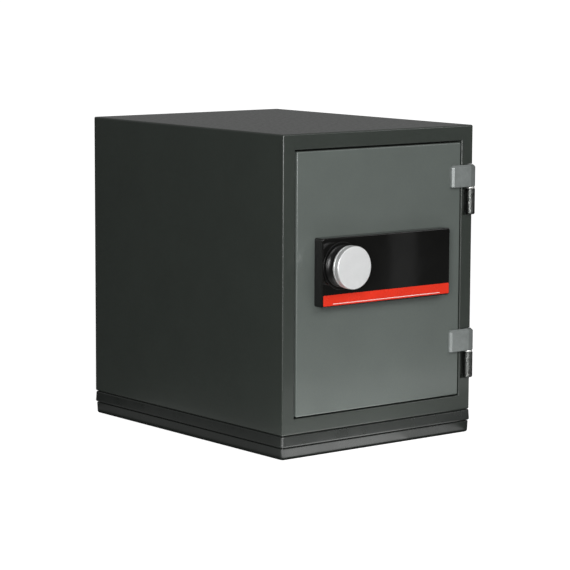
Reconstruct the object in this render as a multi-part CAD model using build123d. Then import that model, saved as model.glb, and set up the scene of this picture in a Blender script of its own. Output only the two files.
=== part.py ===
"""Free-standing fire-resistant cabinet safe for documents, with one door on two pin hinges.

The safe is drawn with the front plane of its steel body at y = 0, the middle of its width at
x = 0 and the underside of the steel body at z = 0. A depth is measured backwards, +Y, and what
stands proud of the front has a negative y. save() moves each piece into the part's own frame,
which has its origin on the floor under the middle of the body.
"""
from build123d import *
import os
from math import cos, radians, sin

os.makedirs("parts", exist_ok=True)

# Driving dimensions, in millimetres
BODY_W = 350.0
BODY_D = 455.0
BODY_H = 416.0
PLINTH_H = 34.0
SHEET = 2.0  # side, top and bottom sheet of the outer shell
FLANGE = 3.0  # front frame of the outer shell
THIN = 1.5  # folded inner sheets
FOLD_R = 2.2  # outside radius of the shell's folds
SLACK = 1.0  # how far a cutting block runs past the face that it opens

# Front frame, door and jamb: half widths and (low, high) heights
OPENING_X = 153.5
OPENING_Z = (22.2, 394.0)
DOOR_X = 151.0
DOOR_Z = (24.2, 391.5)
DOOR_PROUD = 0.5
DOOR_SHEET = 2.0
PAN_DEPTH = 24.0  # depth of the door's full-width front pan
PLUG_X = 142.0
PLUG_Z = (34.0, 382.0)
PLUG_DEPTH = 62.0  # depth of the back of the narrower plug
SEAT_X = 149.0  # jamb opening around the plug
SEAT_Z = (27.0, 389.0)
SEAT_DEPTH = 26.0
CAVITY_X = 125.0
CAVITY_Z = (50.0, 366.0)
CAVITY_DEPTH = (66.0, 405.0)

# Hinges: the pin stands on the front plane, near the body's right corner
PIN_X = 171.0
PIN_R = 3.5
KNUCKLE_R = 6.75
RUNNING = 0.05  # radial clearance of a shaft that turns or slides in its hole
LEAF_X = 131.0  # outer end of the leaf on the door
LEAF_H = 32.0
LEAF_Z = {"upper": 327.0, "lower": 88.0}
WASHER_H = 3.2
BARREL_H = 37.0
POCKET_X = 156.0  # left wall of the corner pocket behind each hinge
POCKET_WALL = 1.0
POCKET_DEPTH = 9.5
POCKET_ROOM = 0.6  # above and below the hinge

# Lock panel, knob and boltwork
PANEL_X = (-119.5, 116.0)
PANEL_Z = (175.8, 272.0)
PANEL_PROUD = 18.0
PANEL_WALL = 3.0
STRIP_Z = (178.0, 193.0)
KNOB_X = -85.0
KNOB_Z = 232.3
KNOB_R = 30.0
KNOB_FACE = -46.0
NECK_FACE = -34.0
SPINDLE_R = 5.0
BOLT_R = 6.0
BOLT_DEPTH = 12.0
BOLT_HEIGHTS = (92.0, 208.0, 324.0)
BOLT_THROW = 16.0
CRANK_PIN_R = 2.5
CRANK_ARM = BOLT_THROW / 2 / cos(radians(45))  # a quarter turn carries the pin by the throw
BAR_X = (-112.0, -109.0)
PLUNGER_X = -35.0
PLUNGER_DEPTH = 17.0
PLUNGER_R = 3.0
DOG_DEPTH = 40.0  # fixed bolts on the hinge side

NODES = {}


# ---------------------------------------------------------------- building blocks
def block(x, y, z):
    """Box between three (low, high) pairs."""
    pairs = (x, y, z)
    size = [high - low for low, high in pairs]
    middle = [(high + low) / 2 for low, high in pairs]
    return Pos(*middle) * Box(*size)


def wide(half, y, z):
    """Box that reaches as far left as right of the middle."""
    return block((-half, half), y, z)


def rod(axis, radius, centre, ends):
    """Cylinder along X, Y or Z. centre holds its other two coordinates, ends the (low, high)."""
    low, high = ends
    solid = Cylinder(radius, high - low)
    middle = (low + high) / 2
    first, second = centre
    if axis == "X":
        return Pos(middle, first, second) * Rot(0, 90, 0) * solid
    if axis == "Y":
        return Pos(first, middle, second) * Rot(90, 0, 0) * solid
    return Pos(first, second, middle) * solid


def ring(axis, outer, inner, centre, ends):
    """Washer or bush."""
    low, high = ends
    return rod(axis, outer, centre, ends) - rod(axis, inner, centre, (low - SLACK, high + SLACK))


def grow(pair, by):
    """A (low, high) pair made larger at both ends."""
    low, high = pair
    return (low - by, high + by)


def front_perimeter(solid):
    """Edges of the foremost face, and the edges that run back from its corners."""
    return solid.faces().sort_by(Axis.Y)[0].edges() + solid.edges().filter_by(Axis.Y)


def save(name, solid):
    """Keep a piece, moved into the part's frame, under its node name."""
    NODES[name] = Pos(0, -BODY_D / 2, PLINTH_H) * solid


def group(solids):
    """Separate solids that share one node."""
    return Compound(children=list(solids))


# ---------------------------------------------------------------- steel body
def hinge_span(place):
    """(low, high) height of a hinge: from under its barrel to the top of its leaf."""
    leaf = LEAF_Z[place]
    return (leaf - WASHER_H - BARREL_H, leaf + LEAF_H)


def hinge_notch(place):
    return block((POCKET_X, BODY_W / 2 + SLACK), (-SLACK, POCKET_DEPTH), grow(hinge_span(place), POCKET_ROOM))


def pocket_block(place):
    """Outside of the sheet-metal pocket behind a hinge."""
    depth = (FLANGE, POCKET_DEPTH + SHEET)
    height = grow(hinge_span(place), POCKET_ROOM + SHEET)
    return block((POCKET_X - POCKET_WALL, BODY_W / 2 - SHEET), depth, height)


def channel_block(side):
    """Outside of the channel that takes the bolts: the locking side or the hinge side."""
    height = (BOLT_HEIGHTS[0] - 18.0, BOLT_HEIGHTS[-1] + 18.0)
    if side == "lock":
        return block((-171.5, -OPENING_X - THIN), (FLANGE, SEAT_DEPTH + THIN), height)
    return block((SEAT_X + THIN, 168.0), (SEAT_DEPTH + THIN, 52.0), height)


def plinth_screw_places():
    return [(x, y) for x in (-150.0, 150.0) for y in (28.0, 427.0)]


def outer_shell():
    outer = wide(BODY_W / 2, (0, BODY_D), (0, BODY_H))
    outer = fillet(front_perimeter(outer), FOLD_R)
    inside = wide(BODY_W / 2 - SHEET, (FLANGE, BODY_D + SLACK), (SHEET, BODY_H - SHEET))
    shell = outer - inside - wide(OPENING_X, (-SLACK, FLANGE + SLACK), OPENING_Z)
    frame_face = shell.faces().sort_by(Axis.Y)[0]
    shell = fillet(frame_face.inner_wires()[0].edges(), FOLD_R)
    for place in LEAF_Z:
        shell -= hinge_notch(place)
    for place in plinth_screw_places():
        shell -= rod("Z", 3.0, place, (-SLACK, SHEET + SLACK))
    return shell


def jamb_space():
    """Solid outline of the stepped jamb, with everything inside it."""
    front = wide(OPENING_X + THIN, (FLANGE, SEAT_DEPTH + THIN), grow(OPENING_Z, THIN))
    back_depth = (SEAT_DEPTH, CAVITY_DEPTH[0] + THIN)
    return front + wide(SEAT_X + THIN, back_depth, grow(SEAT_Z, THIN))


def liner_space():
    depth = (CAVITY_DEPTH[0], CAVITY_DEPTH[1] + THIN)
    return wide(CAVITY_X + THIN, depth, grow(CAVITY_Z, THIN))


def door_jamb():
    jamb = jamb_space()
    jamb -= wide(OPENING_X, (0, SEAT_DEPTH), OPENING_Z)
    jamb -= wide(SEAT_X, (0, CAVITY_DEPTH[0]), SEAT_Z)
    jamb -= wide(CAVITY_X + THIN, (0, CAVITY_DEPTH[1]), grow(CAVITY_Z, THIN))
    for height in BOLT_HEIGHTS:
        hole = (BOLT_DEPTH, height)
        jamb -= rod("X", BOLT_R + 0.6, hole, (-OPENING_X - 2 * THIN, -OPENING_X + SLACK))
        # the fixed bolts swing out of these, so each is a slot and not a hole
        jamb -= block((SEAT_X - SLACK, SEAT_X + THIN + SLACK), (27.5, 47.0), (height - 7.5, height + 7.5))
    return jamb


def strike_channel(side):
    channel = channel_block(side)
    height = (BOLT_HEIGHTS[0] - 16.5, BOLT_HEIGHTS[-1] + 16.5)
    if side == "lock":
        return channel - block((-170.0, -150.0), (FLANGE + THIN, SEAT_DEPTH), height)
    return channel - block((145.0, 166.5), (28.5, 50.5), height)


def body_insulation():
    fill = wide(BODY_W / 2 - SHEET, (FLANGE, BODY_D - SHEET), (SHEET, BODY_H - SHEET))
    fill -= jamb_space()
    fill -= liner_space()
    for side in ("lock", "hinge"):
        fill -= channel_block(side)
    for place in LEAF_Z:
        fill -= pocket_block(place)
    for place in plinth_screw_places():
        fill -= rod("Z", 3.0, place, (0, 8.0))
    return fill


def make_body():
    save("outer_shell", outer_shell())
    save("back_panel", wide(BODY_W / 2 - SHEET, (BODY_D - SHEET, BODY_D), (SHEET, BODY_H - SHEET)))
    save("door_jamb", door_jamb())
    save("body_insulation", body_insulation())
    liner = liner_space() - wide(CAVITY_X, (0, CAVITY_DEPTH[1]), CAVITY_Z)
    save("inner_liner", liner)
    save("strike_channel_lock", strike_channel("lock"))
    save("strike_channel_hinge", strike_channel("hinge"))
    seal_depth = (PLUG_DEPTH + 0.4, CAVITY_DEPTH[0])
    seal = wide(146.0, seal_depth, (30.0, 386.0))
    seal -= wide(131.0, grow(seal_depth, SLACK), (45.0, 371.0))
    save("fire_seal", seal)


def make_shelf():
    top = 206.5
    depth = (92.0, 400.0)
    half = CAVITY_X - 1.0
    shelf = wide(half, depth, (top - THIN, top))
    for front in (depth[0], depth[1] - THIN):
        shelf += wide(half, (front, front + THIN), (top - 12.0, top - THIN))
    save("shelf", shelf)
    clips = []
    for x in ((-CAVITY_X, -118.0), (118.0, CAVITY_X)):
        wall = (x[0], x[0] + THIN) if x[0] < 0 else (x[1] - THIN, x[1])
        for y in (115.0, 375.0):
            clip = block(x, (y - 6, y + 6), (top - THIN - 3, top - THIN))
            clips.append(clip + block(wall, (y - 6, y + 6), (top - 18, top - THIN - 3)))
    save("shelf_clips", group(clips))


# ---------------------------------------------------------------- plinth
def make_plinth():
    lip_proud = 2.4
    lip_low = -16.0
    middle = (0, BODY_D / 2)
    lip_plan = RectangleRounded(BODY_W + 2 * lip_proud, BODY_D + 2 * lip_proud, 8.0)
    lip = extrude(Pos(*middle, lip_low) * lip_plan, -lip_low - 0.8, taper=4.0)
    lip = fillet(lip.faces().sort_by(Axis.Z)[-1].edges(), 1.6)
    lip = fillet(lip.faces().sort_by(Axis.Z)[0].edges(), 2.0)
    seam_plan = RectangleRounded(BODY_W - 5.0, BODY_D - 5.0, 4.0)
    lip += extrude(Pos(*middle, lip_low - 3.0) * seam_plan, -lip_low + 3.0)
    skirt_top = lip_low - 1.6
    skirt_plan = RectangleRounded(BODY_W + 1.0, BODY_D + 1.0, 6.0)
    skirt = extrude(Pos(*middle, skirt_top) * skirt_plan, skirt_top + PLINTH_H, dir=(0, 0, -1), taper=3.0)
    skirt = fillet(skirt.faces().sort_by(Axis.Z)[0].edges(), 3.6)
    skirt = fillet(skirt.faces().sort_by(Axis.Z)[-1].edges(), 0.8)
    wall = 7.0
    deck = 5.0
    cover_t = 3.0
    inside_x = BODY_W / 2 - wall
    inside_y = (wall, BODY_D - wall)
    plinth = lip + skirt - wide(inside_x, inside_y, (-PLINTH_H - SLACK, -deck))
    rib_z = (-PLINTH_H + cover_t, -deck)
    for x in (-84.0, 0.0, 84.0):
        plinth += block((x - 1.5, x + 1.5), inside_y, rib_z)
    for y in (BODY_D / 3, BODY_D * 2 / 3):
        plinth += wide(inside_x, (y - 1.5, y + 1.5), rib_z)
    screws = []
    for place in plinth_screw_places():
        plinth -= rod("Z", 3.0, place, (-deck - SLACK, SLACK))
        screws.append(rod("Z", 3.0, place, (-deck, 8.0)) + rod("Z", 6.0, place, (-deck - 3.0, -deck)))
    save("plinth", plinth)
    save("plinth_screws", group(screws))

    cover = wide(inside_x - 0.2, grow(inside_y, -0.2), (-PLINTH_H, -PLINTH_H + cover_t))
    pads = []
    for x in (-140.0, 140.0):
        for y in (35.0, BODY_D - 35.0):
            pad = rod("Z", 14.0, (x, y), (-PLINTH_H, -PLINTH_H + 2.0))
            cover -= pad
            pads.append(pad)
    save("plinth_cover", cover)
    save("base_pads", group(pads))


# ---------------------------------------------------------------- hinges
def leaf_outline():
    """Plan of a leaf: a flat plate on the door that ends in the round knuckle."""
    back = -DOOR_PROUD
    plate = block((LEAF_X, PIN_X), (-KNUCKLE_R, back), (0, LEAF_H))
    knuckle = rod("Z", KNUCKLE_R, (PIN_X, 0), (0, LEAF_H))
    return plate + knuckle


def front_rim(leaf, end):
    """Edges of a leaf's top (-1) or bottom (0) face, apart from the edge that lies on the door."""
    face = leaf.faces().filter_by(Axis.Z).sort_by(Axis.Z)[end]
    return face.edges().filter_by(lambda edge: abs(edge.center().Y + DOOR_PROUD) > 0.1)


def leaf_screw_places(place):
    return [(141.5, LEAF_Z[place] + height) for height in (9.0, LEAF_H - 9.0)]


def make_hinge(place):
    low = LEAF_Z[place]
    barrel_z = (low - WASHER_H - BARREL_H, low - WASHER_H)
    notch = hinge_notch(place)
    save(f"hinge_pocket_{place}", pocket_block(place) - notch)

    barrel = rod("Z", KNUCKLE_R, (PIN_X, 0), barrel_z)
    barrel = fillet(barrel.faces().sort_by(Axis.Z)[0].edges(), 2.0)
    web_z = (barrel_z[0] + 3.0, barrel_z[1] - 2.0)
    barrel += block((PIN_X - 4.0, BODY_W / 2 - SHEET), (0, POCKET_DEPTH), web_z)
    pin_z = (barrel_z[0] + 8.0, low + LEAF_H - 5.0)
    barrel -= rod("Z", PIN_R, (PIN_X, 0), (pin_z[0], barrel_z[1] + SLACK))
    save(f"hinge_barrel_{place}", barrel)
    save(f"hinge_pin_{place}", rod("Z", PIN_R, (PIN_X, 0), pin_z))
    washer = ring("Z", 6.1, PIN_R + RUNNING, (PIN_X, 0), (low - WASHER_H, low))
    save(f"hinge_washer_{place}", washer)

    leaf = leaf_outline()
    outer_end = leaf.edges().filter_by(Axis.Z).sort_by(Axis.X)[:2].sort_by(Axis.Y)[:1]
    leaf = chamfer(front_rim(leaf, -1) + outer_end, 3.0)
    leaf = chamfer(front_rim(leaf, 0), 1.0)
    leaf = Pos(0, 0, low) * leaf
    leaf -= rod("Z", PIN_R + RUNNING, (PIN_X, 0), (low - SLACK, low + LEAF_H - 4.0))
    for spot in leaf_screw_places(place):
        leaf -= rod("Y", 2.0, spot, (-4.5, 0))
    save(f"hinge_leaf_{place}", leaf)


def make_hinges():
    screws = []
    for place in LEAF_Z:
        make_hinge(place)
        for spot in leaf_screw_places(place):
            head = 1.5
            screw = rod("Y", 2.0, spot, (-4.5, head)) + rod("Y", 4.2, spot, (head, head + 2.5))
            screws.append(screw)
    save("leaf_screws", group(screws))


# ---------------------------------------------------------------- door leaf
SKIN_BACK = DOOR_SHEET - DOOR_PROUD
LOCK_PLATE_T = 2.0
PANEL_SCREWS = [(x, z) for x in (-108.0, 105.0) for z in (186.0, 262.0)]
COVER_SCREWS = [(x, z) for x in (-124.0, 124.0) for z in (50.0, 208.0, 366.0)]
CABLE_R = 1.5
CABLE_X = 10.0
CABLE_Z = 204.0


def door_skin():
    skin = wide(DOOR_X, (-DOOR_PROUD, PAN_DEPTH), DOOR_Z)
    skin = fillet(front_perimeter(skin), 2.0)
    skin -= wide(DOOR_X - THIN, (SKIN_BACK, PAN_DEPTH + SLACK), grow(DOOR_Z, -THIN))
    through = (-DOOR_PROUD - SLACK, SKIN_BACK + SLACK)
    skin -= rod("Y", 8.0, (KNOB_X, KNOB_Z), through)
    skin -= rod("Y", 3.2, (CABLE_X, CABLE_Z), through)
    for spot in PANEL_SCREWS:
        skin -= rod("Y", 1.75, spot, through)
    for place in LEAF_Z:
        for spot in leaf_screw_places(place):
            skin -= rod("Y", 2.0, spot, through)
    for height in BOLT_HEIGHTS:
        skin -= rod("X", BOLT_R + 0.4, (BOLT_DEPTH, height), (-DOOR_X - SLACK, -DOOR_X + 2 * THIN))
    return skin


def make_door():
    save("door_skin", door_skin())
    plate_depth = (PAN_DEPTH - LOCK_PLATE_T, PAN_DEPTH)
    save("lock_plate", wide(DOOR_X - THIN - 0.2, plate_depth, grow(DOOR_Z, -THIN - 0.2)))

    cover = wide(PLUG_X, (PAN_DEPTH, PLUG_DEPTH), PLUG_Z)
    back_face = cover.faces().sort_by(Axis.Y)[-1]
    cover = fillet(back_face.edges() + cover.edges().filter_by(Axis.Y), 3.0)
    inner_depth = (PAN_DEPTH, PLUG_DEPTH - SHEET)
    filling = wide(PLUG_X - SHEET, inner_depth, grow(PLUG_Z, -SHEET))
    cover -= filling
    dogs = []
    for height in BOLT_HEIGHTS:
        dog = rod("X", BOLT_R, (DOG_DEPTH, height), (130.0, 158.0))
        dog = chamfer(dog.faces().sort_by(Axis.X)[-1].edges(), 1.0)
        cover -= dog
        filling -= dog
        dogs.append(dog)
    screws = []
    for spot in COVER_SCREWS:
        shank = rod("Y", 2.0, spot, (PAN_DEPTH, PLUG_DEPTH))
        cover -= shank
        filling -= shank
        head = rod("Y", 4.0, spot, (PLUG_DEPTH, PLUG_DEPTH + 2.0))
        head = fillet(head.faces().sort_by(Axis.Y)[-1].edges(), 1.0)
        screws.append(shank + head)
    save("door_back_cover", cover)
    save("door_insulation", filling)
    save("fixed_bolts", group(dogs))
    save("back_cover_screws", group(screws))


# ---------------------------------------------------------------- lock panel on the door
def lock_panel():
    face = -PANEL_PROUD
    panel = block(PANEL_X, (face, -DOOR_PROUD), PANEL_Z)
    panel = fillet(panel.edges().filter_by(Axis.Y), 3.2)
    panel = fillet(panel.faces().sort_by(Axis.Y)[0].edges(), 1.6)
    wall_back = face + PANEL_WALL
    panel -= block(grow(PANEL_X, -PANEL_WALL), (wall_back, SLACK), grow(PANEL_Z, -PANEL_WALL))
    for spot in PANEL_SCREWS:
        panel += rod("Y", 4.5, spot, (wall_back, -DOOR_PROUD))
        panel -= rod("Y", 1.75, spot, (-9.0, SLACK))
    return panel - rod("Y", 8.0, (KNOB_X, KNOB_Z), (face - SLACK, wall_back + SLACK))


def make_panel():
    face = -PANEL_PROUD
    inside = face + PANEL_WALL
    save("lock_panel", lock_panel())
    strip = block((PANEL_X[0] + 1.6, PANEL_X[1] - 1.6), (face - 0.5, face), STRIP_Z)
    save("red_strip", fillet(strip.edges().filter_by(Axis.Y), 1.6))
    screws = []
    for spot in PANEL_SCREWS:
        head = (SKIN_BACK, SKIN_BACK + 2.2)
        screws.append(rod("Y", 1.75, spot, (-9.0, SKIN_BACK)) + rod("Y", 3.6, spot, head))
    save("panel_screws", group(screws))

    save("touch_board", block((-40.0, 52.0), (inside, inside + 1.6), (198.0, 256.0)))
    tray = block((56.0, 108.0), (inside + 1.0, -1.5), (199.5, 249.5))
    tray -= block((57.0, 107.0), (inside + 2.0, 0), (200.5, 248.5))
    save("battery_tray", tray)
    cell_r = 5.25
    cell_z = [207.0 + 11.7 * index for index in range(4)]
    save("batteries", group(rod("X", cell_r, (-7.5, z), (59.8, 104.2)) for z in cell_z))
    contacts = [block(x, (-11.0, -4.0), (202.5, 246.5)) for x in ((59.0, 59.8), (104.2, 105.0))]
    save("battery_contacts", group(contacts))


def make_cable():
    """Cable from the touch board through the door skin to the lock motor."""
    behind_skin = 11.0
    motor_side = -18.0
    entry_z = 185.0
    board_back = -PANEL_PROUD + PANEL_WALL + 1.6
    corners = [
        (CABLE_X, board_back, CABLE_Z),
        (CABLE_X, behind_skin, CABLE_Z),
        (CABLE_X, behind_skin, entry_z),
        (motor_side, behind_skin, entry_z),
    ]
    bend = 8.0
    route = FilletPolyline(*corners, radius=bend)
    start = Plane(origin=corners[0], z_dir=(0, 1, 0))
    cable = sweep(start * Circle(CABLE_R), path=route)
    print("cable: length %.1f mm, bends %.1f mm" % (route.length, bend))
    save("lock_cable", cable)
    hole = (CABLE_X, CABLE_Z)
    grommet = ring("Y", 3.2, CABLE_R, hole, (-DOOR_PROUD, SKIN_BACK))
    grommet += ring("Y", 5.0, CABLE_R, hole, (SKIN_BACK, SKIN_BACK + 1.5))
    save("cable_grommet", grommet)


# ---------------------------------------------------------------- knob and boltwork
def flared_neck():
    """Hub behind the knob, that sweeps out to a wide foot close to the panel."""
    foot = -PANEL_PROUD - 0.4
    waist_r = 23.0
    line = Polyline((0, foot), (29.5, foot), (29.5, foot - 0.8))
    sweep_out = ThreePointArc((29.5, foot - 0.8), (25.0, -23.2), (waist_r, -30.0))
    top = Polyline((waist_r, -30.0), (waist_r, NECK_FACE), (0, NECK_FACE), (0, foot))
    profile = make_face([line, sweep_out, top])
    return Pos(KNOB_X, 0, KNOB_Z) * revolve(profile, Axis.Y)


def make_knob():
    centre = (KNOB_X, KNOB_Z)
    panel_face = -PANEL_PROUD
    dish = ring("Y", 33.5, 31.0, centre, (panel_face - 1.0, panel_face))
    save("knob_ring", fillet(dish.faces().sort_by(Axis.Y)[0].edges(), 0.5))

    neck = flared_neck() - rod("Y", SPINDLE_R, centre, (NECK_FACE - SLACK, panel_face + SLACK))
    grub = rod("Z", 2.0, (KNOB_X, -28.0), (KNOB_Z - 22.0, KNOB_Z - SPINDLE_R))
    neck -= rod("Z", 2.0, (KNOB_X, -28.0), (KNOB_Z - 25.0, KNOB_Z - SPINDLE_R))
    save("knob_neck", neck)
    save("knob_grub_screw", grub)

    disc = rod("Y", KNOB_R, centre, (KNOB_FACE, NECK_FACE))
    disc = chamfer(disc.edges().filter_by(GeomType.CIRCLE), 0.8)
    disc -= ring("Y", KNOB_R + SLACK, KNOB_R - 1.2, centre, (-37.8, -36.2))
    disc -= rod("Y", SPINDLE_R, centre, (-41.0, NECK_FACE + SLACK))
    save("knob_disc", disc)

    crank_y = (9.0, 12.5)
    save("spindle", rod("Y", SPINDLE_R, centre, (-41.0, 14.0)))
    save("spindle_clip", ring("Y", 7.5, SPINDLE_R, centre, (12.5, 13.5)))
    pin_spot = (KNOB_X + BOLT_THROW / 2, KNOB_Z + CRANK_ARM * sin(radians(45)))
    crank_pin = rod("Y", CRANK_PIN_R, pin_spot, (crank_y[0], 20.5))
    crank = ring("Y", 17.0, SPINDLE_R, centre, crank_y) - crank_pin
    save("crank_disc", crank)
    save("crank_pin", crank_pin)

    bore = SPINDLE_R + RUNNING
    front = ring("Y", 8.0, bore, centre, (panel_face, -10.0))
    front += ring("Y", 10.5, bore, centre, (panel_face + PANEL_WALL, panel_face + PANEL_WALL + 2.0))
    save("spindle_bush_front", front)
    rear = ring("Y", 8.0, bore, centre, (-DOOR_PROUD, SKIN_BACK + 2.0))
    rear += ring("Y", 10.5, bore, centre, (SKIN_BACK, SKIN_BACK + 2.0))
    save("spindle_bush_rear", rear)


def make_boltwork():
    arm_depth = (15.5, 18.5)
    arm_low = 214.0
    bar = block(BAR_X, (4.5, 20.5), (BOLT_HEIGHTS[0] - 18, BOLT_HEIGHTS[-1] + 18))
    bar += block((BAR_X[1], -58.0), arm_depth, (arm_low, 252.0))
    bar += block((-58.0, -4.0), arm_depth, (arm_low, 226.0))
    # upright slot for the crank pin, wide enough for the small error of a straight-line follower
    slot_x = KNOB_X + BOLT_THROW / 2
    slot_half = CRANK_PIN_R + 0.5
    slot_z = (KNOB_Z + BOLT_THROW / 2 - slot_half - 0.2, KNOB_Z + CRANK_ARM + slot_half + 0.2)
    bar -= block((slot_x - slot_half, slot_x + slot_half), grow(arm_depth, SLACK), slot_z)
    # one notch for the plunger at each end of the bar's travel
    for x in (PLUNGER_X, PLUNGER_X + BOLT_THROW):
        bar -= block((x - 4.0, x + 4.0), grow(arm_depth, SLACK), (arm_low - SLACK, arm_low + 5.5))
    bolts = []
    nuts = []
    guides = []
    for height in BOLT_HEIGHTS:
        line = (BOLT_DEPTH, height)
        stud = rod("X", 3.0, line, (BAR_X[0], BAR_X[1] + 6.0))
        bar -= stud
        bolt = rod("X", BOLT_R, line, (-DOOR_X + 0.5, BAR_X[0]))
        bolt = chamfer(bolt.faces().sort_by(Axis.X)[0].edges(), 1.0)
        bolts.append(bolt + stud)
        nut_plane = Plane(origin=(BAR_X[1], BOLT_DEPTH, height), z_dir=(1, 0, 0))
        nuts.append(extrude(nut_plane * RegularPolygon(5.5, 6), 4.5) - stud)
        guide = block((-148.0, -131.0), (4.0, PAN_DEPTH - LOCK_PLATE_T), grow((height, height), 10.0))
        guides.append(guide - rod("X", BOLT_R + RUNNING, line, (-149.0, -130.0)))
    save("bolt_bar", bar)
    save("locking_bolts", group(bolts))
    save("bolt_nuts", group(nuts))
    save("bolt_guides", group(guides))

    line = (PLUNGER_X, PLUNGER_DEPTH)
    plunger_z = (188.0, arm_low - 0.5)
    plunger = rod("Z", PLUNGER_R, line, plunger_z)
    save("lock_plunger", chamfer(plunger.faces().sort_by(Axis.Z)[-1].edges(), 0.6))
    motor = block((-52.0, -18.0), (6.0, PAN_DEPTH - LOCK_PLATE_T), (168.0, 206.0))
    motor = fillet(motor.edges().filter_by(Axis.Y), 2.0)
    motor -= rod("Z", PLUNGER_R + RUNNING, line, (plunger_z[0], 207.0))
    save("lock_motor", motor)


make_body()
make_shelf()
make_plinth()
make_hinges()
make_door()
make_panel()
make_cable()
make_knob()
make_boltwork()
for node, solid in NODES.items():
    export_step(solid, os.path.join("parts", node + ".step"))
print(len(NODES), "nodes")
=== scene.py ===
"""Looks of the free-standing fire-resistant cabinet safe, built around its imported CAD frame.

Everything is in metres in the part's frame: origin on the floor under the middle of the body,
+Z up, the door facing -Y and its hinges on the +X side.
"""
from math import cos, pi, radians, sin, tan

import bmesh
import bpy
from mathutils import Matrix, Vector


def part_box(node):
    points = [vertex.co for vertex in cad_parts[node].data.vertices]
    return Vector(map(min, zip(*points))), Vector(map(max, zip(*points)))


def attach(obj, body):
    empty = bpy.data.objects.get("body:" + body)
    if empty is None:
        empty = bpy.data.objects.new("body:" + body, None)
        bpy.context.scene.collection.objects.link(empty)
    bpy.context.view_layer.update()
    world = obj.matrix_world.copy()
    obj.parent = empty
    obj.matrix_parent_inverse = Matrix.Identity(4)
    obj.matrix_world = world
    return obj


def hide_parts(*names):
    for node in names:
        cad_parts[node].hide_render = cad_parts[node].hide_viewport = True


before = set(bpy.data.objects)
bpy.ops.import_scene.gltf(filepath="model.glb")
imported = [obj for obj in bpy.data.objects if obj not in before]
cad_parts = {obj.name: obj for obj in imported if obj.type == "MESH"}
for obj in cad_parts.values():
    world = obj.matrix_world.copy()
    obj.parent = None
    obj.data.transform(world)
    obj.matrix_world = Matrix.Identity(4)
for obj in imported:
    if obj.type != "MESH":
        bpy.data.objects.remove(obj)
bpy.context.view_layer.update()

MM = 0.001
FRONT = Vector((0, -1, 0))  # the way the door faces
UP = Vector((0, 0, 1))
WELD = 0.005 * MM  # points that are closer than this are one point

# Camera
CAMERA_PLACE = Vector((-2.2074, -2.7822, 0.6851))
CAMERA_YAW = radians(38.56)  # from +Y towards +X
CAMERA_PITCH = radians(7.68)  # downwards
CAMERA_ROLL = radians(0.263)
CAMERA_LENS = 152.54  # focal length in millimetres, for a sensor as wide as SENSOR
SENSOR = 36.0

# Studio
FLOOR_SIZE = 400.0
FLOOR_SHADE = 0.45  # how pale the camera sees it under the lights, before its glow
FLOOR_BOUNCE = 0.10  # what it throws back of the lights, apart from its own bright patches
GLOW_START = 0.5
GLOW_END = 6.0
FLOOR_GLOW_NEAR = 0.9  # the glow that the camera sees on the floor within GLOW_START of the safe
FLOOR_GLOW_FAR = 1.0  # the same beyond GLOW_END
WORLD_LOW = 0.25  # brightness of the surroundings at the horizon and below
WORLD_HIGH = 0.28  # brightness overhead
WORLD_SEEN = 1.0  # how bright the camera sees them
LIGHT_AIM = (0, 0, 0.22)


def middle_and_half(node):
    """Middle of a CAD node's box, and half of the box's size along each axis."""
    low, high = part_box(node)
    return (low + high) / 2, (high - low) / 2


# Knob and hinges
KNOB_BORE = 5.0 * MM  # radius of the spindle's hole
KNOB_FACE_RADIUS = middle_and_half("knob_disc")[1].x - 0.6 * MM
HINGES = ("upper", "lower")
KNUCKLE_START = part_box("hinge_leaf_upper")[1].x - 12.55 * MM  # where a leaf's plate meets its knuckle


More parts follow.
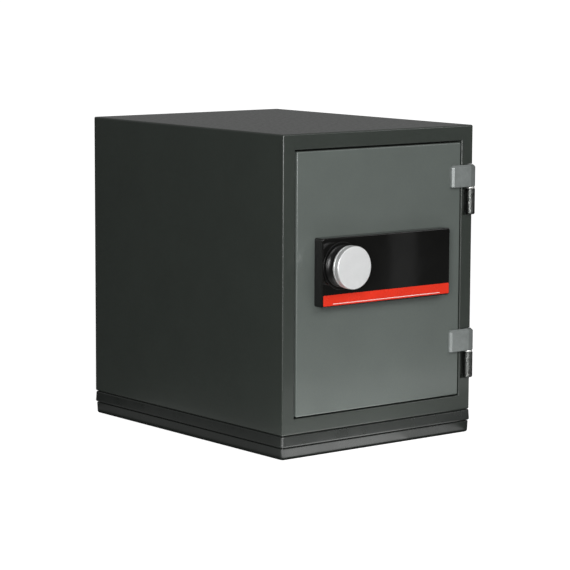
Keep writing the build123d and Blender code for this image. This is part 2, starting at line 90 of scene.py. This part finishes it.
# ---------------------------------------------------------------- node materials
class Finish:
    """A node material being put together: one Principled shader and the textures that drive it."""

    def __init__(self, name, colour, roughness, metallic=0.0, specular=0.5):
        self.material = bpy.data.materials.new(name)
        self.material.use_nodes = True
        self.tree = self.material.node_tree
        self.tree.nodes.clear()
        self.shader = self.add("ShaderNodeBsdfPrincipled")
        output = self.add("ShaderNodeOutputMaterial")
        self.join(self.shader.outputs["BSDF"], output.inputs["Surface"])
        self.colour = colour
        self.shader.inputs["Base Color"].default_value = (*colour, 1)
        self.shader.inputs["Roughness"].default_value = roughness
        self.shader.inputs["Metallic"].default_value = metallic
        self.shader.inputs["Specular IOR Level"].default_value = specular
        self.place = self.add("ShaderNodeTexCoord").outputs["Object"]
        self.height = None

    def add(self, kind):
        return self.tree.nodes.new(kind)

    def join(self, source, target):
        self.tree.links.new(source, target)

    def noise(self, size, detail=2.0, stretch=(1, 1, 1), roughness=0.55):
        """Noise whose blotches measure about size metres, divided by stretch along each axis."""
        scaled = self.add("ShaderNodeMapping")
        scaled.inputs["Scale"].default_value = stretch
        self.join(self.place, scaled.inputs["Vector"])
        texture = self.add("ShaderNodeTexNoise")
        texture.inputs["Scale"].default_value = 1 / size
        texture.inputs["Detail"].default_value = detail
        texture.inputs["Roughness"].default_value = roughness
        self.join(scaled.outputs["Vector"], texture.inputs["Vector"])
        return texture.outputs["Fac"]

    def remap(self, value, low, high, start=0.3, end=0.7):
        """value carried from start..end to low..high."""
        ramp = self.add("ShaderNodeMapRange")
        ramp.inputs["From Min"].default_value = start
        ramp.inputs["From Max"].default_value = end
        ramp.inputs["To Min"].default_value = low
        ramp.inputs["To Max"].default_value = high
        self.join(value, ramp.inputs["Value"])
        return ramp.outputs["Result"]

    def math(self, operation, first, second=0.0):
        """Each of first and second is a number or a socket."""
        step = self.add("ShaderNodeMath")
        step.operation = operation
        for socket, value in zip(step.inputs, (first, second)):
            if isinstance(value, (int, float)):
                socket.default_value = value
            else:
                self.join(value, socket)
        return step.outputs["Value"]

    def vary_roughness(self, size, low, high, **noise):
        """Roughness that wanders from low to high with a noise of that size."""
        self.join(self.remap(self.noise(size, **noise), low, high), self.shader.inputs["Roughness"])
        return self

    def vary_colour(self, *layers, shade=None):
        """Each layer is (noise, share): the colour goes that share up and down with the noise.
        shade is one more factor on the colour."""
        factor = shade
        for noise, share in layers:
            part = self.remap(noise, 1 - share, 1 + share)
            factor = part if factor is None else self.math("MULTIPLY", factor, part)
        tint = self.add("ShaderNodeVectorMath")
        tint.operation = "SCALE"
        tint.inputs[0].default_value = self.colour
        self.join(factor, tint.inputs["Scale"])
        self.join(tint.outputs["Vector"], self.shader.inputs["Base Color"])
        return self

    def bump(self, height, depth):
        """Adds a relief of that depth, on top of the reliefs added before."""
        relief = self.add("ShaderNodeBump")
        relief.inputs["Distance"].default_value = depth
        relief.inputs["Strength"].default_value = 1.0
        self.join(height, relief.inputs["Height"])
        if self.height is not None:
            self.join(self.height, relief.inputs["Normal"])
        self.height = relief.outputs["Normal"]
        self.join(self.height, self.shader.inputs["Normal"])
        return self

    def coat(self, weight, roughness):
        """Clear layer on top."""
        self.shader.inputs["Coat Weight"].default_value = weight
        self.shader.inputs["Coat Roughness"].default_value = roughness
        return self


def powder_coat(name, colour, roughness, gloss=0.0):
    """Baked textured paint: a fine grain on a soft orange peel, with faint clouds of tone.
    gloss is the weight of a clear layer over it."""
    gloss_roughness = 0.12
    paint = Finish(name, colour, roughness)
    grain = paint.noise(0.9 * MM, detail=3.0)
    paint.vary_colour((paint.noise(70 * MM, detail=3.0), 0.05), (grain, 0.07))
    paint.vary_roughness(6 * MM, roughness - 0.05, roughness + 0.07)
    paint.bump(paint.noise(3.2 * MM, detail=1.0), 0.05 * MM)
    paint.bump(grain, 0.05 * MM)
    if gloss:
        paint.coat(gloss, gloss_roughness)
    return paint.material


def moulded_plastic(name, colour, roughness, grain=0.03 * MM, specular=0.5):
    """Injection-moulded plastic with a spark-eroded grain of that depth."""
    plastic = Finish(name, colour, roughness, specular=specular)
    fine = plastic.noise(0.7 * MM, detail=2.0)
    plastic.vary_colour((plastic.noise(40 * MM), 0.06), (fine, 0.05))
    plastic.vary_roughness(30 * MM, roughness - 0.05, roughness + 0.07)
    plastic.bump(fine, grain)
    return plastic.material


def gloss_plastic(name, colour, roughness=0.06, specular=0.5):
    """Polished plastic: a deep colour under a hard gloss, with the faint ripple of the mould."""
    gloss = Finish(name, colour, roughness, specular=specular)
    gloss.vary_colour((gloss.noise(30 * MM), 0.05))
    gloss.vary_roughness(25 * MM, roughness * 0.7, roughness * 1.5, detail=4.0)
    gloss.bump(gloss.noise(45 * MM, detail=0.0), 0.05 * MM)
    return gloss.material


def rough_metal(name, colour, roughness, metallic=0.9, grain=0.9 * MM, depth=0.04 * MM, painted_shade_end=None):
    """Plated or cast metal: a mottled tone and a pitted grain of that size and depth.
    The last argument is (x, share): past that x of its object the colour is multiplied by the share, a
    painted shade over the knuckle that turns away from the light."""
    metal = Finish(name, colour, roughness, metallic=metallic)
    pits = metal.noise(grain, detail=4.0)
    shade = None
    # painted shade: the colour darkens past the given x, standing in for the shade on the knuckle
    if painted_shade_end:
        start, share = painted_shade_end
        fade = 1.5 * MM
        parts = metal.add("ShaderNodeSeparateXYZ")
        metal.join(metal.place, parts.inputs["Vector"])
        shade = metal.remap(parts.outputs["X"], 1.0, share, start, start + fade)
    metal.vary_colour((metal.noise(11 * MM, detail=3.0), 0.10), (pits, 0.08), shade=shade)
    metal.vary_roughness(4 * MM, roughness - 0.08, roughness + 0.10)
    metal.bump(pits, depth)
    return metal.material


def drawn_metal(name, colour, roughness, along="X", metallic=1.0):
    """Ground or drawn bar and sheet: hair-fine lines that run along one axis."""
    metal = Finish(name, colour, roughness, metallic=metallic)
    stretch = [1.0 if axis != along else 0.02 for axis in "XYZ"]
    lines = metal.noise(0.25 * MM, detail=3.0, stretch=stretch)
    metal.vary_colour((lines, 0.08), (metal.noise(20 * MM), 0.05))
    metal.vary_roughness(0.5 * MM, roughness - 0.06, roughness + 0.08, stretch=stretch)
    metal.bump(lines, 0.01 * MM)
    return metal.material


def turned_metal(name, colour, roughness, metallic, face_radius, painted_side_shade):
    """Metal turned on a lathe about its object's own Y axis: close concentric tool marks.
    Outside face_radius the colour is multiplied by the given share: painted shade on the knob's side, where
    less light falls."""
    pitch = 0.35 * MM
    fade = 0.3 * MM
    metal = Finish(name, colour, roughness, metallic=metallic)
    parts = metal.add("ShaderNodeSeparateXYZ")
    metal.join(metal.place, parts.inputs["Vector"])
    across = metal.math("POWER", parts.outputs["X"], 2.0)
    upright = metal.math("POWER", parts.outputs["Z"], 2.0)
    radius = metal.math("POWER", metal.math("ADD", across, upright), 0.5)
    marks = metal.math("SINE", metal.math("MULTIPLY", radius, 2 * pi / pitch))
    # painted shade: past face_radius the colour darkens, standing in for the shade on the knob's side
    side = metal.remap(radius, 1.0, painted_side_shade, face_radius - fade, face_radius)
    metal.vary_colour((metal.noise(12 * MM, detail=3.0), 0.02), (metal.noise(0.6 * MM), 0.02), shade=side)
    metal.vary_roughness(5 * MM, roughness - 0.04, roughness + 0.06)
    metal.bump(marks, 0.004 * MM)
    metal.bump(metal.noise(0.4 * MM), 0.004 * MM)
    return metal.material


def rubber(name, colour, roughness):
    """Matt black rubber with a dusty, close grain."""
    soft = Finish(name, colour, roughness, specular=0.35)
    grain = soft.noise(0.5 * MM, detail=3.0)
    soft.vary_colour((soft.noise(15 * MM), 0.12), (grain, 0.08))
    soft.vary_roughness(3 * MM, roughness - 0.08, roughness + 0.1)
    soft.bump(grain, 0.03 * MM)
    return soft.material


def cast_insulation(name, colour):
    """Poured mineral filling: pale, dusty and full of small voids."""
    filling = Finish(name, colour, 0.95, specular=0.2)
    voids = filling.noise(2.5 * MM, detail=6.0, roughness=0.7)
    filling.vary_colour((filling.noise(30 * MM, detail=4.0), 0.10), (voids, 0.12))
    filling.bump(voids, 0.5 * MM)
    return filling.material


BODY_COLOUR = (0.030, 0.036, 0.031)
DOOR_COLOUR = (0.098, 0.113, 0.104)

FINISHES = {
    "body_paint": powder_coat("body_paint", BODY_COLOUR, 0.34, gloss=0.35),
    "door_paint": powder_coat("door_paint", DOOR_COLOUR, 0.36, gloss=0.35),
    "insulation": cast_insulation("insulation", (0.62, 0.58, 0.50)),
    "liner_plastic": moulded_plastic("liner_plastic", (0.34, 0.35, 0.34), 0.5),
    "seal_rubber": rubber("seal_rubber", (0.016, 0.016, 0.016), 0.75),
    "zinc_steel": rough_metal("zinc_steel", (0.55, 0.55, 0.52), 0.38),
    "bolt_steel": drawn_metal("bolt_steel", (0.62, 0.62, 0.62), 0.25),
    "shelf_paint": powder_coat("shelf_paint", (0.20, 0.21, 0.20), 0.5),
    "clip_plastic": moulded_plastic("clip_plastic", (0.05, 0.05, 0.05), 0.5),
    "plinth_plastic": moulded_plastic(
        "plinth_plastic", (0.0125, 0.0150, 0.0130), 0.30, grain=0.012 * MM, specular=0.7
    ),
    # The knuckle end of each hinge leaf is darkened with painted shade.
    "hinge_leaf_metal": rough_metal(
        "hinge_leaf_metal", (0.20, 0.218, 0.212), 0.38, metallic=0.18, painted_shade_end=(KNUCKLE_START, 0.68)
    ),
    "hinge_barrel_paint": rough_metal(
        "hinge_barrel_paint", (0.13, 0.135, 0.13), 0.32, metallic=1.0, grain=1.6 * MM, depth=0.6 * MM
    ),
    "washer_metal": drawn_metal("washer_metal", (0.85, 0.85, 0.83), 0.25, along="Z", metallic=0.8),
    "gloss_black": gloss_plastic("gloss_black", (0.0055, 0.0055, 0.0052), specular=0.4),
    "red_gloss": gloss_plastic("red_gloss", (0.70, 0.032, 0.013), 0.22),
    # The knob's side is darkened with painted shade.
    "knob_silver": turned_metal(
        "knob_silver", (0.90, 0.91, 0.91), 0.38, metallic=0.45, face_radius=KNOB_FACE_RADIUS, painted_side_shade=0.62
    ),
    "brass": rough_metal("brass", (0.62, 0.42, 0.14), 0.3),
    "board_green": moulded_plastic("board_green", (0.02, 0.10, 0.04), 0.45),
    "cell_wrap": gloss_plastic("cell_wrap", (0.05, 0.06, 0.12), 0.3),
    "motor_case": moulded_plastic("motor_case", (0.10, 0.10, 0.11), 0.45),
}
SATIN_BLACK = moulded_plastic("satin_black", (0.005, 0.005, 0.005), 0.28, grain=0.004 * MM, specular=0.3)
WHITE_PRINT = moulded_plastic("white_print", (0.80, 0.78, 0.76), 0.45, grain=0.005 * MM)


def finish_cad_nodes():
    """Every CAD node keeps its shape and takes the finish of the material slot it was packed with."""
    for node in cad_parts.values():
        for slot in node.material_slots:
            slot.material = FINISHES[slot.material.name.split(".")[0]]


# ---------------------------------------------------------------- mesh building
def make_piece(name, bm, slot, body, material=None, replaces=(), place=Vector((0, 0, 0))):
    """New object from a bmesh, at a place, riding on a CAD body. It has the finish of its slot,
    unless it brings a material of its own."""
    mesh = bpy.data.meshes.new(name)
    bmesh.ops.recalc_face_normals(bm, faces=bm.faces)
    bm.to_mesh(mesh)
    bm.free()
    piece = bpy.data.objects.new(name, mesh)
    bpy.context.scene.collection.objects.link(piece)
    mesh.materials.append(material or FINISHES[slot])
    piece.location = place
    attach(piece, body)
    if replaces:
        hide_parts(*replaces)


def solids_of(node):
    """(low, high) corners of each separate solid of a CAD node, as its mesh shows them."""
    bm = bmesh.new()
    bm.from_mesh(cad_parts[node].data)
    bmesh.ops.remove_doubles(bm, verts=bm.verts, dist=WELD)
    left = set(bm.verts)
    boxes = []
    while left:
        places = []
        waiting = [left.pop()]
        while waiting:
            vert = waiting.pop()
            places.append(vert.co)
            near = {edge.other_vert(vert) for edge in vert.link_edges} & left
            left -= near
            waiting.extend(near)
        low = Vector([min(place[axis] for place in places) for axis in range(3)])
        high = Vector([max(place[axis] for place in places) for axis in range(3)])
        boxes.append((low, high))
    bm.free()
    return sorted(boxes, key=lambda box: tuple(round(value, 5) for value in box[0]))


def shade_smooth(bm):
    """Smooth shading, but crisp edges where two faces meet at a clear angle."""
    crisp_angle = radians(32)
    for face in bm.faces:
        face.smooth = True
    for edge in bm.edges:
        edge.smooth = len(edge.link_faces) == 2 and edge.calc_face_angle(pi) < crisp_angle


def softened(node, width, flat_area):
    """The mesh of a CAD node with its sharp edges rounded off, as casting leaves them.
    Faces larger than flat_area stay flat."""
    flat_angle = radians(2)
    edge_angle = radians(28)
    bm = bmesh.new()
    bm.from_mesh(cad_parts[node].data)
    bmesh.ops.remove_doubles(bm, verts=bm.verts, dist=WELD)
    bmesh.ops.dissolve_limit(bm, angle_limit=flat_angle, verts=bm.verts, edges=bm.edges)
    sharp = [edge for edge in bm.edges if len(edge.link_faces) == 2 and edge.calc_face_angle(0) > edge_angle]
    bmesh.ops.bevel(
        bm, geom=sharp, offset=width, segments=3, profile=0.5, affect="EDGES", clamp_overlap=True
    )
    shade_smooth(bm)
    for face in bm.faces:
        face.smooth = face.calc_area() < flat_area
    return bm


def rounded(points):
    """Outline with its corners rounded. Each point is (u, v) or (u, v, radius)."""
    steps = 5
    outline = []
    count = len(points)
    for index, point in enumerate(points):
        here = Vector(point[:2])
        if len(point) == 2:
            outline.append(here)
            continue
        before = (Vector(points[index - 1][:2]) - here).normalized()
        after = (Vector(points[(index + 1) % count][:2]) - here).normalized()
        half = before.angle(after) / 2
        centre = here + (before + after).normalized() * point[2] / sin(half)
        start = here + before * point[2] / tan(half) - centre
        end = here + after * point[2] / tan(half) - centre
        sweep = start.angle_signed(end)
        for step in range(steps + 1):
            turn = Matrix.Rotation(-sweep * step / steps, 2)
            outline.append(centre + turn @ start)
    return outline


def arc_through(first, second, third):
    """Points of the circular arc that runs from the first point, through the second, to the third."""
    steps = 16
    a, b, c = (Vector(point) for point in (first, second, third))
    ab, ac = b - a, c - a
    cross = 2 * (ab.x * ac.y - ab.y * ac.x)
    reach = Vector((
        ac.y * ab.length_squared - ab.y * ac.length_squared,
        ab.x * ac.length_squared - ac.x * ab.length_squared,
    ))
    centre = a + reach / cross
    sweep = (a - centre).angle_signed(c - centre)
    turns = [Matrix.Rotation(-sweep * step / steps, 2) for step in range(steps + 1)]
    return [centre + turn @ (a - centre) for turn in turns]


def join_loops(bm, first, second):
    """Band of faces between two closed loops that have as many points. A loop may be one point repeated."""
    count = len(first)
    for index in range(count):
        after = (index + 1) % count
        corners = [first[index], first[after], second[after], second[index]]
        distinct = list(dict.fromkeys(corners))
        if len(distinct) > 2:
            bm.faces.new(distinct)


def lathe(profile, segments=128, axis="Y"):
    """Solid of revolution about Y or Z. profile is a line of (radius, distance along the axis)."""
    bm = bmesh.new()

    def vert(u, v, along):
        return bm.verts.new((u, along, v) if axis == "Y" else (u, v, along))

    angles = [2 * pi * index / segments for index in range(segments)]
    rings = []
    for radius, along in profile:
        if radius < WELD:
            rings.append([vert(0, 0, along)] * segments)
        else:
            rings.append([vert(radius * cos(angle), radius * sin(angle), along) for angle in angles])
    for first, second in zip(rings, rings[1:]):
        join_loops(bm, first, second)
    shade_smooth(bm)
    return bm


def lathe_ring(points, segments, axis="Y"):
    """Solid of revolution with a hole through it: the outline is closed and keeps clear of the axis."""
    outline = rounded(points)
    return lathe(outline + outline[:1], segments, axis)


# ---------------------------------------------------------------- knob
def make_knob():
    """Disc with a slightly crowned face, bevelled rims and a groove round its side."""
    centre, half = middle_and_half("knob_disc")
    radius = half.x
    front = -half.y
    back = half.y
    face_rim = radius - 0.9 * MM
    face_steps = 12
    crown = 0.5 * MM  # how far the face falls away from its middle to its rim
    front_bevel = 0.8 * MM
    back_bevel = 0.7 * MM
    corner = 0.25 * MM
    groove_front = front + 8.2 * MM
    groove_back = groove_front + 1.6 * MM
    groove_floor = radius - 1.2 * MM
    groove_lip = 0.15 * MM
    bore_end = front + 5.0 * MM
    shares = [step / face_steps for step in range(face_steps)]
    crowned = [(face_rim * share, front + crown * share ** 2) for share in shares]
    disc = lathe(rounded(crowned + [
        (face_rim, front + crown, corner),
        (radius, front + crown + front_bevel, corner),
        (radius, groove_front, groove_lip),
        (groove_floor, groove_front),
        (groove_floor, groove_back),
        (radius, groove_back, groove_lip),
        (radius, back - back_bevel, corner),
        (radius - back_bevel, back, corner),
        (KNOB_BORE, back),
        (KNOB_BORE, bore_end),
        (0, bore_end),
    ]))
    make_piece("knob_disc_turned", disc, "knob_silver", "knob", replaces=["knob_disc"], place=centre)


def make_neck():
    """Hub behind the knob, that sweeps out from its waist to a wide foot."""
    centre, half = middle_and_half("knob_neck")
    top = -half.y
    foot = half.y
    foot_radius = half.x
    foot_corner = 0.25 * MM
    top_corner = 0.4 * MM
    waist = 23.0 * MM
    sweep_start = (foot_radius, foot - 0.8 * MM)
    sweep_middle = (25.0 * MM, foot - 4.8 * MM)
    sweep_end = (waist, foot - 11.6 * MM)
    outline = [(KNOB_BORE, foot), (foot_radius, foot, foot_corner)]
    outline += arc_through(sweep_start, sweep_middle, sweep_end)
    outline += [(waist, top, top_corner), (KNOB_BORE, top)]
    neck = lathe_ring(outline, segments=160)
    make_piece("knob_neck_turned", neck, "gloss_black", "knob", SATIN_BLACK, ["knob_neck"], centre)


def make_ring():
    """Flat ring on the lock panel, round the neck's foot."""
    centre, half = middle_and_half("knob_ring")
    outer = half.x
    inner = outer - 2.5 * MM
    edge = 0.5 * MM
    ring = lathe_ring([
        (inner, half.y),
        (outer, half.y),
        (outer, -half.y, edge),
        (inner, -half.y, edge),
    ], segments=160)
    make_piece("knob_ring_turned", ring, "gloss_black", "door", SATIN_BLACK, ["knob_ring"], centre)


# ---------------------------------------------------------------- hinges
def make_washers():
    """Washers between the leaves and the barrels, with well-rounded outer edges."""
    bore = 3.55 * MM
    bore_edge = 0.3 * MM
    outer_edge = 1.1 * MM
    for place in HINGES:
        node = f"hinge_washer_{place}"
        centre, half = middle_and_half(node)
        washer = lathe_ring([
            (bore, -half.z, bore_edge),
            (half.x, -half.z, outer_edge),
            (half.x, half.z, outer_edge),
            (bore, half.z, bore_edge),
        ], segments=64, axis="Z")
        make_piece(f"{node}_turned", washer, "washer_metal", "safe_body", replaces=[node], place=centre)


def make_leaves():
    """Hinge leaves as cast, with their edges rounded off."""
    edge = 0.6 * MM
    flat_area = 30 * MM * MM
    for place in HINGES:
        node = f"hinge_leaf_{place}"
        leaf = softened(node, edge, flat_area)
        make_piece(f"{node}_cast", leaf, "hinge_leaf_metal", "door", replaces=[node])


# ---------------------------------------------------------------- seal and screws
def make_seal():
    """Fire seal round the mouth of the compartment: a flat strip with three soft ribs."""
    low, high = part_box("fire_seal")
    width = 15.0 * MM
    margin = 0.8 * MM
    valley = 1.1 * MM
    rib_count = 3
    rib_steps = 8
    rib_fullness = 0.8
    pitch = (width - 2 * margin) / rib_count
    section = [(0, high.y), (0, low.y + valley)]
    for rib in range(rib_count):
        for step in range(rib_steps + 1):
            share = step / rib_steps
            inset = margin + pitch * (rib + share)
            section.append((inset, low.y + valley * (1 - sin(pi * share) ** rib_fullness)))
    section += [(width, low.y + valley), (width, high.y)]
    bm = bmesh.new()
    loops = []
    for inset, depth in section:
        left, right = low.x + inset, high.x - inset
        bottom, top = low.z + inset, high.z - inset
        corners = [(left, bottom), (right, bottom), (right, top), (left, top)]
        loops.append([bm.verts.new((x, depth, z)) for x, z in corners])
    for first, second in zip(loops, loops[1:] + loops[:1]):
        join_loops(bm, first, second)
    bmesh.ops.remove_doubles(bm, verts=bm.verts, dist=WELD)
    shade_smooth(bm)
    make_piece("fire_seal_ribbed", bm, "seal_rubber", "safe_body", replaces=["fire_seal"])


def cross_recess_cutter(centre, head_top):
    """Cross-shaped punch that narrows as it goes into a screw head that faces +Y."""
    depth = 1.1 * MM
    reach = 2.3 * MM  # of each arm, from the screw's axis
    arm_half = 0.5 * MM
    clear = 0.5 * MM  # how far the punch stands out of the head
    tip_share = 0.45  # size of the punch's tip, as a share of its wide end
    bm = bmesh.new()
    for wide, tall in ((reach, arm_half), (arm_half, reach)):
        ends = []
        for share, along in ((tip_share, -depth), (1.0, clear)):
            corners = [(-wide, -tall), (wide, -tall), (wide, tall), (-wide, tall)]
            ends.append([
                bm.verts.new((centre.x + x * share, head_top + along, centre.z + z * share))
                for x, z in corners
            ])
        join_loops(bm, *ends)
        for end in ends:
            bm.faces.new(end)
    bmesh.ops.recalc_face_normals(bm, faces=bm.faces)
    return bm


def as_object(bm, name):
    """Scene object from a bmesh, without a finish."""
    mesh = bpy.data.meshes.new(name)
    bm.to_mesh(mesh)
    bm.free()
    thing = bpy.data.objects.new(name, mesh)
    bpy.context.scene.collection.objects.link(thing)
    return thing


def add_cut(target, blank, cutter):
    """Adds to the target the blank less the cutter. All three are bmeshes."""
    piece = as_object(blank, "blank")
    knife = as_object(cutter, "knife")
    cut = piece.modifiers.new("cut", "BOOLEAN")
    cut.operation = "DIFFERENCE"
    cut.solver = "EXACT"
    cut.use_self = True
    cut.object = knife
    shaped = piece.evaluated_get(bpy.context.evaluated_depsgraph_get())
    target.from_mesh(shaped.to_mesh())
    bpy.data.objects.remove(piece)
    bpy.data.objects.remove(knife)


def make_cover_screws():
    """Pan-head screws of the door's back cover, each with a cross recess."""
    node = "back_cover_screws"
    shank_radius = 2.0 * MM
    head_height = 2.0 * MM
    crown_height = 1.4 * MM
    crown_steps = 8
    crown_fullness = 0.7
    screws = bmesh.new()
    for low, high in solids_of(node):
        centre = (low + high) / 2
        head_radius = (high.x - low.x) / 2
        under = high.y - head_height
        outline = [(0, low.y), (shank_radius, low.y), (shank_radius, under), (head_radius, under)]
        for step in range(crown_steps + 1):
            angle = pi / 2 * step / crown_steps
            radius = head_radius * cos(angle) ** crown_fullness
            outline.append((radius, high.y - crown_height * (1 - sin(angle))))
        blank = lathe(outline, segments=48)
        bmesh.ops.translate(blank, verts=blank.verts, vec=(centre.x, 0, centre.z))
        add_cut(screws, blank, cross_recess_cutter(centre, high.y))
    shade_smooth(screws)
    make_piece(f"{node}_headed", screws, "zinc_steel", "door", replaces=[node])


# ---------------------------------------------------------------- print
def make_strip_line():
    """Thin printed line along the foot of the red strip."""
    low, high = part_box("red_strip")
    start = low.x + 17.0 * MM
    end = high.x - 17.5 * MM
    height = low.z + 2.3 * MM
    half = 0.4 * MM
    corner = 0.3 * MM
    proud = 0.06 * MM
    outline = rounded([
        (start, height - half, corner),
        (end, height - half, corner),
        (end, height + half, corner),
        (start, height + half, corner),
    ])
    bm = bmesh.new()
    face = bm.faces.new([bm.verts.new((point.x, low.y, point.y)) for point in outline])
    lifted = bmesh.ops.extrude_face_region(bm, geom=[face])
    moved = [part for part in lifted["geom"] if isinstance(part, bmesh.types.BMVert)]
    bmesh.ops.translate(bm, verts=moved, vec=FRONT * proud)
    make_piece("strip_line", bm, None, "door", material=WHITE_PRINT)


# ---------------------------------------------------------------- studio
def aim_camera():
    """Camera at its place, turned by its yaw, pitch and roll."""
    forward = Vector((
        sin(CAMERA_YAW) * cos(CAMERA_PITCH),
        cos(CAMERA_YAW) * cos(CAMERA_PITCH),
        -sin(CAMERA_PITCH),
    ))
    level = forward.cross(UP).normalized()
    above = level.cross(forward)
    right = level * cos(CAMERA_ROLL) + above * sin(CAMERA_ROLL)
    up = right.cross(forward)
    turn = Matrix((right, up, -forward)).transposed()
    data = bpy.data.cameras.new("camera")
    data.lens = CAMERA_LENS
    data.sensor_width = SENSOR
    data.clip_end = FLOOR_SIZE
    camera = bpy.data.objects.new("camera", data)
    camera.matrix_world = Matrix.Translation(CAMERA_PLACE) @ turn.to_4x4()
    bpy.context.scene.collection.objects.link(camera)
    bpy.context.scene.camera = camera


def area_light(name, place, size, strength):
    """Rectangular light that the camera doesn't see. strength is its own brightness, so a larger one
    gives more light."""
    width, height = size
    data = bpy.data.lights.new(name, "AREA")
    data.shape = "RECTANGLE"
    data.size = width
    data.size_y = height
    data.energy = strength * pi * width * height
    light = bpy.data.objects.new(name, data)
    light.location = place
    light.visible_camera = False
    bpy.context.scene.collection.objects.link(light)
    return light


def softbox(name, place, size, strength, target=LIGHT_AIM):
    """Light that faces its target."""
    light = area_light(name, place, size, strength)
    light.rotation_euler = (Vector(place) - Vector(target)).to_track_quat("Z", "Y").to_euler()


def floor_patch(name, centre, size, strength):
    """Bright patch of the floor, that lights the safe from below."""
    above_floor = 3 * MM
    light = area_light(name, (*centre, above_floor), size, strength)
    light.rotation_euler = (pi, 0, 0)


def make_lights():
    """Two softboxes, the lit floor round the safe's foot, and two small lights for gleams."""
    # The stronger softbox stands at the front left, the broader and dimmer one above the front
    softbox("front_left", (-1.7, -1.9, 0.7), (0.9, 1.2), 15.3)
    softbox("front_high", (0.3, -2.3, 1.7), (1.6, 1.2), 3.9)
    # Close to the front edge, further out in front, and beside the safe
    floor_patch("edge_glow_left", (-0.09, -0.268), (0.30, 0.075), 2.3)
    floor_patch("edge_glow_right", (0.115, -0.268), (0.11, 0.075), 1.2)
    floor_patch("front_glow_near", (0.05, -0.40), (0.62, 0.15), 0.35)
    floor_patch("front_glow_far", (0.20, -0.58), (0.7, 0.2), 0.8)
    floor_patch("front_glow_right", (0.46, -0.45), (0.2, 0.3), 0.4)
    floor_patch("side_glow", (-0.24, 0.0), (0.12, 0.5), 0.2)
    # One that glints on rounded front edges, and a narrow one that the lock panel's gloss mirrors
    softbox("rim_glint", (1.45, -1.48, 1.09), (0.45, 0.4), 4.8, target=(0, -0.23, 0.0))
    softbox("panel_gleam", (0.82, -1.145, 0.143), (0.05, 0.26), 0.28, target=(0.03, -0.245, 0.285))


def seen_or_bounced(tree, seen, bounced):
    """The value seen for what the camera itself sees, and bounced for the light that bounces about."""
    path = tree.nodes.new("ShaderNodeLightPath")
    mix = tree.nodes.new("ShaderNodeMix")
    mix.data_type = "FLOAT"
    tree.links.new(path.outputs["Is Camera Ray"], mix.inputs["Factor"])
    for socket, value in ((mix.inputs["A"], bounced), (mix.inputs["B"], seen)):
        if isinstance(value, float):
            socket.default_value = value
        else:
            tree.links.new(value, socket)
    return mix.outputs["Result"]


def make_floor():
    """Plain pale floor. The camera sees it evenly pale; it throws only a little of the light back."""
    bm = bmesh.new()
    bmesh.ops.create_grid(bm, x_segments=8, y_segments=8, size=FLOOR_SIZE / 2)
    floor = as_object(bm, "floor")

    material = bpy.data.materials.new("floor")
    material.use_nodes = True
    tree = material.node_tree
    tree.nodes.clear()
    new, link = tree.nodes.new, tree.links.new
    place = new("ShaderNodeTexCoord")
    distance = new("ShaderNodeVectorMath")
    distance.operation = "LENGTH"
    link(place.outputs["Object"], distance.inputs[0])
    rise = new("ShaderNodeMapRange")
    rise.interpolation_type = "SMOOTHSTEP"
    rise.inputs["From Min"].default_value = GLOW_START
    rise.inputs["From Max"].default_value = GLOW_END
    rise.inputs["To Min"].default_value = FLOOR_GLOW_NEAR
    rise.inputs["To Max"].default_value = FLOOR_GLOW_FAR
    link(distance.outputs["Value"], rise.inputs["Value"])
    diffuse = new("ShaderNodeBsdfDiffuse")
    link(seen_or_bounced(tree, FLOOR_SHADE, FLOOR_BOUNCE), diffuse.inputs["Color"])
    glow = new("ShaderNodeEmission")
    link(seen_or_bounced(tree, rise.outputs["Result"], 0.0), glow.inputs["Strength"])
    both = new("ShaderNodeAddShader")
    link(diffuse.outputs["BSDF"], both.inputs[0])
    link(glow.outputs["Emission"], both.inputs[1])
    output = new("ShaderNodeOutputMaterial")
    link(both.outputs["Shader"], output.inputs["Surface"])
    floor.data.materials.append(material)


def make_world():
    """Dim surroundings that are a little brighter overhead; the camera sees them as pale as the floor."""
    world = bpy.data.worlds.new("studio")
    bpy.context.scene.world = world
    world.use_nodes = True
    tree = world.node_tree
    tree.nodes.clear()
    new, link = tree.nodes.new, tree.links.new
    place = new("ShaderNodeTexCoord")
    parts = new("ShaderNodeSeparateXYZ")
    link(place.outputs["Generated"], parts.inputs["Vector"])
    dome = new("ShaderNodeMapRange")
    dome.inputs["To Min"].default_value = WORLD_LOW
    dome.inputs["To Max"].default_value = WORLD_HIGH
    link(parts.outputs["Z"], dome.inputs["Value"])
    background = new("ShaderNodeBackground")
    brightness = seen_or_bounced(tree, WORLD_SEEN, dome.outputs["Result"])
    link(brightness, background.inputs["Strength"])
    output = new("ShaderNodeOutputWorld")
    link(background.outputs["Background"], output.inputs["Surface"])


finish_cad_nodes()
make_knob()
make_neck()
make_ring()
make_washers()
make_leaves()
make_seal()
make_cover_screws()
make_strip_line()

make_floor()
make_world()
make_lights()
aim_camera()
bpy.context.scene.view_settings.view_transform = "Standard"
